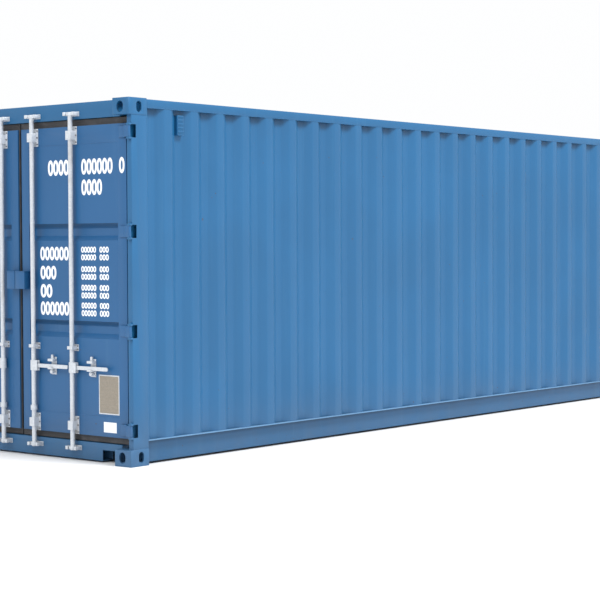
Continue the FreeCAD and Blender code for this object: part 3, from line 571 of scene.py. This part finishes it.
ROUNDED = {"top_corner_castings": 0.004, "bottom_corner_castings": 0.004, "rear_corner_posts": 0.003,
           "front_corner_posts": 0.004, "top_side_rails": 0.0014, "bottom_side_rails": 0.0015,
           "rear_header": 0.0018, "rear_sill": 0.0025, "front_header": 0.0018, "hinge_ears": 0.002,
           "right_door_frame": 0.0015, "left_door_frame": 0.0015, "right_door_hinges": 0.002,
           "left_door_hinges": 0.002, "right_lock_box": 0.0018, "left_lock_box": 0.0018,
           "cam_keepers": 0.003, "right_bar_brackets": 0.0015, "left_bar_brackets": 0.0015,
           "right_handle_retainers": 0.0015, "left_handle_retainers": 0.0015}
for bar in ("right_inner", "right_outer", "left_inner", "left_outer"):
    ROUNDED[f"{bar}_bar"] = 0.0012
    ROUNDED[f"{bar}_handle"] = 0.002
for node, width in ROUNDED.items():
    rounded_copy(node, width)

# %% [markdown]
# A corrugated sheet is one flat strip folded again and again. It starts as one plane, whose free edge
# is extruded from fold to fold. An Array of one wave couldn't give the flat ends that meet the posts.
# The folds are bevelled into soft bends that catch the light, and Solidify gives the sheet its thickness.

# %% Corrugated sheets
def strip(name, line, sweep, bend, thickness, outward):
    """A folded sheet: line lists its folds, sweep is the straight way across, outward its outer side."""
    clear_selection()
    bpy.ops.mesh.primitive_plane_add(size=1)
    piece = bpy.context.object
    piece.name = name
    line = [Vector(point) for point in line]
    corners = (line[0], line[1], line[1] + Vector(sweep), line[0] + Vector(sweep))
    order = [piece.data.loops[index].vertex_index for index in piece.data.polygons[0].loop_indices]
    for vertex, corner in zip(order, corners):
        piece.data.vertices[vertex].co = corner
    bpy.ops.object.mode_set(mode="EDIT")
    bpy.ops.mesh.select_mode(type="EDGE")
    bpy.ops.mesh.select_all(action="DESELECT")
    bpy.ops.object.mode_set(mode="OBJECT")
    for edge in piece.data.edges:
        edge.select = set(edge.vertices) == {order[1], order[2]}
    bpy.ops.object.mode_set(mode="EDIT")
    for before, after in zip(line[1:], line[2:]):
        bpy.ops.mesh.extrude_region_move(TRANSFORM_OT_translate={"value": after - before})
    bpy.ops.object.mode_set(mode="OBJECT")
    apply_modifier(piece, "BEVEL", width=bend, segments=3, limit_method="ANGLE",
                   angle_limit=math.radians(4), affect="EDGES", use_clamp_overlap=True)
    side = piece.data.polygons[0].normal.dot(Vector(outward))
    return apply_modifier(piece, "SOLIDIFY", thickness=thickness, offset=-1.0 if side > 0 else 1.0)


SHEET = 0.002
FLAT_OUT, FLAT_IN, PITCH, DEEP = 0.072, 0.07, 0.278, 0.036
END_FLAT = 0.012


def side_line(sign, low, high):
    """The folds of a side sheet, from the rear post to the front one."""
    outer, inner = sign * high.x, sign * (high.x - DEEP)
    slope = (PITCH - FLAT_OUT - FLAT_IN) / 2
    count = round((high.y - low.y) / PITCH)
    first, last = low.y + END_FLAT, high.y - END_FLAT
    line = [(outer, low.y, low.z)]
    for index in range(count):
        middle = (index - (count - 1) / 2) * PITCH
        line += [(outer, max(middle - FLAT_IN / 2 - slope, first), low.z),
                 (inner, middle - FLAT_IN / 2, low.z),
                 (inner, middle + FLAT_IN / 2, low.z),
                 (outer, min(middle + FLAT_IN / 2 + slope, last), low.z)]
    return line + [(outer, high.y, low.z)]


for side, sign in SIDES.items():
    low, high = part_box(f"{side}_side_wall")
    if sign < 0:
        low, high = Vector((-high.x, low.y, low.z)), Vector((-low.x, high.y, high.z))
    sheet = strip(f"{side}_wall_sheet", side_line(sign, low, high), (0, 0, high.z - low.z),
                  bend=0.009, thickness=SHEET, outward=(sign, 0, 0))
    finished(sheet, wall_paint, "container", "container_paint", f"{side}_side_wall")


def waves(low, high, pitch, flat, slope, deep, corner):
    """The folds of an evenly corrugated sheet; corner turns a place and a depth into a point."""
    count = int((high - low) // pitch)
    inner = pitch - flat - 2 * slope
    line = [corner(low, 0)]
    for index in range(count):
        middle = (low + high) / 2 + (index - (count - 1) / 2) * pitch
        line += [corner(middle - inner / 2 - slope, 0), corner(middle - inner / 2, deep),
                 corner(middle + inner / 2, deep), corner(middle + inner / 2 + slope, 0)]
    return line + [corner(high, 0)]


low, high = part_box("front_wall")
line = waves(low.x, high.x, pitch=0.25, flat=0.11, slope=0.018, deep=0.0456,
             corner=lambda x, down: (x, high.y - down, low.z))
sheet = strip("front_wall_sheet", line, (0, 0, high.z - low.z),
              bend=0.007, thickness=SHEET, outward=(0, 1, 0))
finished(sheet, body_paint, "container", "container_paint", "front_wall")

low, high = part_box("roof")
line = waves(low.y, high.y, pitch=0.209, flat=0.091, slope=0.0135, deep=0.02,
             corner=lambda y, down: (low.x, y, high.z - down))
sheet = strip("roof_sheet", line, (high.x - low.x, 0, 0),
              bend=0.006, thickness=SHEET, outward=(0, 0, 1))
finished(sheet, body_paint, "container", "container_paint", "roof")

# %% [markdown]
# A ventilator is a small pressed cover over a hole in the sheet. Rows of drilled holes let air through
# and keep spray out. The cover is one block: its outer face is divided, each cell is inset, and the
# insets are pushed in.

# %% Ventilators
VENT_WIDE, VENT_PROUD = 0.066, 0.031
HOLE_MARGIN, HOLE_DEEP = 0.0042, 0.004
HOLE_CUTS = 4


def vent_cover(name, low, high, outward):
    """A rounded cover with rows of holes in its outer face."""
    piece = block(name, low, high, 0.004, 2)
    outer = max(high.x, low.x) if outward > 0 else min(high.x, low.x)
    bpy.ops.object.mode_set(mode="EDIT")
    bpy.ops.mesh.select_mode(type="FACE")
    bpy.ops.mesh.select_all(action="DESELECT")
    bpy.ops.object.mode_set(mode="OBJECT")
    for face in piece.data.polygons:
        face.select = abs(face.center.x - outer) < 0.0005 and face.area > 0.001
    bpy.ops.object.mode_set(mode="EDIT")
    bpy.ops.mesh.subdivide(number_cuts=HOLE_CUTS)
    bpy.ops.mesh.inset(thickness=HOLE_MARGIN, use_individual=True)
    bpy.ops.mesh.extrude_region_move(TRANSFORM_OT_translate={"value": (-outward * HOLE_DEEP, 0, 0)})
    bpy.ops.object.mode_set(mode="OBJECT")
    return piece


vent_low, vent_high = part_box("ventilators")
covers = []
for outward, edge, place in ((1, vent_high.x, vent_low.y), (-1, vent_low.x, vent_high.y - VENT_WIDE)):
    inner = edge - outward * VENT_PROUD
    low = Vector((min(edge, inner), place, vent_low.z))
    high = Vector((max(edge, inner), place + VENT_WIDE, vent_high.z))
    covers.append(vent_cover(f"vent_cover_{outward}", low, high, outward))
finished(join("vent_covers", covers), body_paint, "container", "vent_plastic", "ventilators")

# %% [markdown]
# The door seal is a rubber extrusion with two soft lips. The lips press on the frame and on the other
# leaf. The ring's front face is inset and pushed back, which leaves a lip along each edge.

# %% Door seals
LIP_WIDE, LIP_TALL = 0.005, 0.006
SPARE = 0.01


def seal_ring(side):
    """A ring of rubber round a leaf, with a lip along each edge of its front."""
    low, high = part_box(f"{side}_door_gasket")
    leaf_low, leaf_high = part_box(f"{side}_door_frame")
    ring = block(f"{side}_door_seal", low, high)
    hole = block("leaf_space", (leaf_low.x, low.y - SPARE, leaf_low.z),
                 (leaf_high.x, high.y + SPARE, leaf_high.z))
    apply_modifier(ring, "BOOLEAN", object=hole, operation="DIFFERENCE", solver="EXACT")
    bpy.data.objects.remove(hole)
    for face in ring.data.polygons:
        face.select = face.normal.y < -0.9 and abs(face.center.y - low.y) < 0.0005
    bpy.ops.object.mode_set(mode="EDIT")
    bpy.ops.mesh.select_mode(type="FACE")
    bpy.ops.mesh.inset(thickness=LIP_WIDE, depth=-LIP_TALL, use_boundary=True)
    bpy.ops.object.mode_set(mode="OBJECT")
    return round_edges(ring, 0.0008, 1)


for side in SIDES:
    finished(seal_ring(side), rubber_finish, f"{side}_door", "door_rubber", f"{side}_door_gasket")

# %% [markdown]
# Each bearing plate is held by hexagon bolts that show as bright dots beside the bar. One bolt is made:
# a washer and a six-sided head with rounded edges. The rest are copies of it.

# %% Bolts of the bar brackets
BARS = (0.171, 0.586)
PLATE_FRONT, GUIDE_FRONT = 0.061, 0.063
BOLT_ASIDE = 0.0315
BRACKET_HALF = 0.065
PLATE_STEPS, GUIDE_STEPS = (-0.05, 0, 0.05), (-0.012, 0.012)
GUIDE_Z = 0.818
OUTWARDS = (math.pi / 2, 0, 0)


def rear(depth):
    """The Y of a place, by its depth behind the door end."""
    return door_end + depth


washer = drum("washer", (0, -0.0005, 0), 0.0064, 0.0016, OUTWARDS)
head = drum("head", (0, -0.003, 0), 0.0056, 0.005, OUTWARDS, sides=6, rounding=0.0006)
first_bolt = join("bolt", [washer, head])
brackets_low, brackets_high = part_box("right_bar_brackets")
bolt_levels = [(brackets_high.z - BRACKET_HALF, PLATE_FRONT, PLATE_STEPS),
               (brackets_low.z + BRACKET_HALF, PLATE_FRONT, PLATE_STEPS),
               (GUIDE_Z, GUIDE_FRONT, GUIDE_STEPS)]
for side, sign in SIDES.items():
    places = [(sign * bar + aside, rear(front), level + step) for bar in BARS
              for level, front, steps in bolt_levels for step in steps
              for aside in (-BOLT_ASIDE, BOLT_ASIDE)]
    bolts = copies(f"{side}_bracket_bolts", first_bolt, places)
    finished(bolts, bolt_finish, f"{side}_door", "galvanised_steel")

# %% [markdown]
# Behind each pair of keeper lugs lies a forged base that spreads the load of the locked cam over the
# header or the sill. It is a flat block with rounded edges, welded all round. Each lug ends in a short
# claw that closes in front of the cam and holds it, and is clear of the cam when the bar turns.

# %% Keeper bases and claws
KEEPER_HALF = 0.013
LUG_MIDDLE = 0.045

keepers_low, keepers_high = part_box("cam_keepers")
first_base = block("base", (-0.058, 0.0665, -0.017), (0.058, 0.0725, 0.017), rounding=0.0018)
places = [(sign * bar, door_end, level) for sign in SIDES.values() for bar in BARS
          for level in (keepers_low.z + KEEPER_HALF, keepers_high.z - KEEPER_HALF)]
finished(copies("keeper_bases", first_base, places), zinc_finish, "container", "galvanised_steel")

first_claw = block("claw", (-0.011, 0.011, -KEEPER_HALF), (0.011, 0.0235, KEEPER_HALF), rounding=0.0025)
places = [(x + way * LUG_MIDDLE, y, z) for x, y, z in places for way in (-1, 1)]
finished(copies("keeper_claws", first_claw, places), zinc_finish, "container", "galvanised_steel")

# %% [markdown]
# The handle rests in a retainer, behind a low lip that it has to be lifted over. Above it stands the
# tab of the catch, and below it the round head of the pivot that holds the catch. The tab tapers
# upwards and its edges are soft, as a pressing is.

# %% Handle catches
HANDLE_Z = 0.675
RETAINER_AT = 0.19
TAB_TOP, TAB_TAPER = 0.084, 0.62
PLATE_BOLT_ASIDE, PLATE_BOLT_DROP = 0.02, 0.05

tab = block("tab", (-0.015, 0.042, 0.036), (0.015, 0.054, TAB_TOP))
for vertex in tab.data.vertices:
    if abs(vertex.co.z - TAB_TOP) < 0.001:
        vertex.co.x *= TAB_TAPER
round_edges(tab, 0.0025)
pivot = drum("pivot", (0, 0.049, -0.04), 0.015, 0.032, OUTWARDS, rounding=0.003)
lip = block("lip", (-0.02, 0.0185, -0.0223), (0.02, 0.0245, -0.007), rounding=0.002)
first_catch = join("catch", [tab, pivot, lip])
for side, sign in SIDES.items():
    middles = [sign * (bar + RETAINER_AT) for bar in BARS]
    catches = copies("catches", first_catch, [(x, door_end, HANDLE_Z) for x in middles])
    places = [(x + aside, rear(GUIDE_FRONT), HANDLE_Z - PLATE_BOLT_DROP)
              for x in middles for aside in (-PLATE_BOLT_ASIDE, PLATE_BOLT_ASIDE)]
    bolts = copies("plate_bolts", first_bolt, places)
    details = join(f"{side}_catch_details", [catches, bolts])
    finished(details, zinc_finish, f"{side}_door", "galvanised_steel")

# %% [markdown]
# A hinge pin is driven through its two ears and riveted over, so a low domed head shows above and
# below. The heads are short drums with well rounded edges.

# %% Hinge pin heads
PIN_X, PIN_DEPTH = 1.203, 0.016
EAR_END, HEAD_OUT = 0.055, 0.0015
HINGE_HALF = 0.04
MIDDLE_HINGES = (0.9527, 1.6543)

hinges_low, hinges_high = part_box("right_door_hinges")
hinge_levels = [hinges_low.z + HINGE_HALF, *MIDDLE_HINGES, hinges_high.z - HINGE_HALF]
first_head = drum("pin_head", (0, 0, 0), 0.0095, 0.005, rounding=0.002)
places = [(sign * PIN_X, rear(PIN_DEPTH), level + way * (EAR_END + HEAD_OUT)) for sign in SIDES.values()
          for level in hinge_levels for way in (-1, 1)]
finished(copies("hinge_pin_heads", first_head, places), body_paint, "container", "container_paint")

# %% [markdown]
# Castings, posts and ears are joined by fillet welds. A weld is a low, rounded bead along the seam, so
# each bead is a thin drum laid in the corner between the two faces and painted over with the rest.

# %% Weld beads
def bead(start, end, radius=0.0035):
    """A round bead from one point to another."""
    start, end = Vector(start), Vector(end)
    along = end - start
    turn = along.to_track_quat("Z", "Y").to_euler()
    return drum("bead", (start + end) / 2, radius, along.length, turn, sides=8, rounding=0.0012)


CASTING = 0.118
CASTING_LONG = 0.178
POST_SIDE, REAR_POST_INNER, FRONT_POST_INNER = 1.2152, 1.172, 1.168
REAR_POST_FACE, FRONT_POST_FACE, BEAD_STOP = 0.028, 0.008, 0.176
HEADER_END, HEADER_FACE, HEADER_LOW, HEADER_HIGH = 1.057, 0.072, 2.47, 2.583
TOP_SEAM_X, TOP_SEAM_Z = 1.2115, 2.525

front_end = high_corner.y
rear_face, rear_stop = rear(REAR_POST_FACE), rear(BEAD_STOP)
front_face, front_stop = front_end - FRONT_POST_FACE, front_end - BEAD_STOP
beads = []
for sign in SIDES.values():
    outer = sign * POST_SIDE
    for level in (low_corner.z + CASTING, high_corner.z - CASTING):
        beads.append(bead((sign * REAR_POST_INNER, rear_face, level), (outer, rear_face, level)))
        beads.append(bead((outer, rear_face, level), (outer, rear_stop, level)))
        beads.append(bead((sign * FRONT_POST_INNER, front_face, level), (outer, front_face, level)))
        beads.append(bead((outer, front_stop, level), (outer, front_face, level)))
    beads.append(bead((sign * HEADER_END, rear(HEADER_FACE), HEADER_LOW),
                      (sign * HEADER_END, rear(HEADER_FACE), HEADER_HIGH)))
    beads.append(bead((sign * TOP_SEAM_X, rear(CASTING_LONG), TOP_SEAM_Z),
                      (sign * TOP_SEAM_X, front_end - CASTING_LONG, TOP_SEAM_Z), radius=0.0025))
finished(join("weld_beads", beads), body_paint, "container", "container_paint")

# %% [markdown]
# The bottom rail's upper flange is folded outwards and carries the side sheet. Its edge stands a few
# millimetres proud and throws a thin shadow on the rail. One long block with rounded edges is enough,
# in a lighter blue that paints a highlight along the edge.

# %% Proud edge of the bottom rails
EDGE_INNER, EDGE_OUTER = 1.196, 1.2175
EDGE_LOW, EDGE_HIGH = 0.1715, 0.1805

for side, sign in SIDES.items():
    edge = block(f"{side}_rail_edge", (sign * EDGE_INNER, rear(CASTING_LONG), EDGE_LOW),
                 (sign * EDGE_OUTER, front_end - CASTING_LONG, EDGE_HIGH), rounding=0.002)
    # The lighter blue is a painted highlight along the edge.
    finished(edge, edge_highlight_paint, "container", "container_paint")

# %% [markdown]
# The padlock box has a hood, a thin plate bent over its top so that rain stays off the padlock. Each
# leaf carries half of it, as the box itself is split where the leaves meet.

# %% Padlock hoods
HOOD_SPLIT, HOOD_ASIDE = 0.0025, 0.003
HOOD_FRONT, HOOD_BACK = 0.004, 0.066
HOOD_UNDER, HOOD_OVER = 0.002, 0.0035

for side, sign in SIDES.items():
    box_low, box_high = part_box(f"{side}_lock_box")
    outer = max(abs(box_low.x), abs(box_high.x)) + HOOD_ASIDE
    hood = block(f"{side}_lock_hood", (sign * HOOD_SPLIT, rear(HOOD_FRONT), box_high.z - HOOD_UNDER),
                 (sign * outer, rear(HOOD_BACK), box_high.z + HOOD_OVER), rounding=0.0015)
    finished(hood, door_paint, f"{side}_door", "door_paint")

# %% [markdown]
# The data plate is a bare metal sheet in a raised rim, held by a rivet in each corner. The rim is a
# block whose face is inset and pushed in, and the rivets are small domes.

# %% Data plate rim and rivets
RIM_HALF = 0.004
RIM_FRONT, RIM_BACK, RIM_STEP = 0.0652, 0.068, 0.0016
RIVET_DEPTH = 0.0647

plate_low, plate_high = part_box("data_plate")
rim = block("plate_rim", (plate_low.x - RIM_HALF, rear(RIM_FRONT), plate_low.z - RIM_HALF),
            (plate_high.x + RIM_HALF, rear(RIM_BACK), plate_high.z + RIM_HALF))
for face in rim.data.polygons:
    face.select = face.normal.y < -0.9
bpy.ops.object.mode_set(mode="EDIT")
bpy.ops.mesh.select_mode(type="FACE")
bpy.ops.mesh.inset(thickness=2 * RIM_HALF)
bpy.ops.mesh.extrude_region_move(TRANSFORM_OT_translate={"value": (0, RIM_STEP, 0)})
bpy.ops.mesh.delete(type="FACE")
bpy.ops.object.mode_set(mode="OBJECT")
first_rivet = drum("rivet", (0, 0, 0), 0.0038, 0.0028, OUTWARDS, sides=16, rounding=0.001)
places = [(x, rear(RIVET_DEPTH), z) for x in (plate_low.x + RIM_HALF, plate_high.x - RIM_HALF)
          for z in (plate_low.z + RIM_HALF, plate_high.z - RIM_HALF)]
rivets = copies("rivets", first_rivet, places)
finished(join("data_plate_rim", [rim, rivets]), zinc_finish, "right_door", "galvanised_steel")

for first in (first_bolt, first_base, first_claw, first_catch, first_head, first_rivet):
    bpy.data.objects.remove(first)

# %% [markdown]
# White rows are stencilled on the right leaf with a cut card and a spray can. Here they are plain
# noughts, which name nothing. Each row is text turned to mesh, squeezed to the narrow stencil width.

# %% Stencilled rows
PANEL_PAINT, STILE_PAINT = 0.0676, 0.0656


def stencil(text, left, right, bottom, top, depth):
    """A row of figures that fills a rectangle on the door."""
    clear_selection()
    bpy.ops.object.text_add(rotation=(math.pi / 2, 0, 0))
    row = bpy.context.object
    row.data.body = text
    row.data.offset = 0.035
    bpy.ops.object.convert(target="MESH")
    settle(row)
    corners = [vertex.co for vertex in row.data.vertices]
    least = Vector(min(co[axis] for co in corners) for axis in range(3))
    most = Vector(max(co[axis] for co in corners) for axis in range(3))
    for co in corners:
        co.x = left + (co.x - least.x) / (most.x - least.x) * (right - left)
        co.z = bottom + (co.z - least.z) / (most.z - least.z) * (top - bottom)
        co.y = rear(depth)
    return row


TOP_ROW, SECOND_ROW = (2.066, 2.18), (1.918, 2.032)
rows = [stencil("0000", 0.309, 0.533, *TOP_ROW, PANEL_PAINT),
        stencil("000000", 0.663, 0.986, *TOP_ROW, PANEL_PAINT),
        stencil("0", 1.052, 1.108, *TOP_ROW, STILE_PAINT),
        stencil("0000", 0.663, 0.877, *SECOND_ROW, PANEL_PAINT)]
TABLE = ((1.549, 0.524), (1.409, 0.39), (1.275, 0.345), (1.147, 0.524))
LABEL_START, LABEL_TALL, DIGIT_WIDE = 0.217, 0.1, 0.052
LINE_TALL, LINE_STEP = 0.044, 0.055
COLUMNS = (("00000", 0.655, 0.81), ("000", 0.845, 0.94))
for top, label_end in TABLE:
    digits = "0" * round((label_end - LABEL_START) / DIGIT_WIDE)
    rows.append(stencil(digits, LABEL_START, label_end, top - LABEL_TALL, top, PANEL_PAINT))
    for line_top in (top, top - LINE_STEP):
        for figures, left, right in COLUMNS:
            rows.append(stencil(figures, left, right, line_top - LINE_TALL, line_top, PANEL_PAINT))
finished(join("stencilled_rows", rows), stencil_finish, "right_door", "white_label")
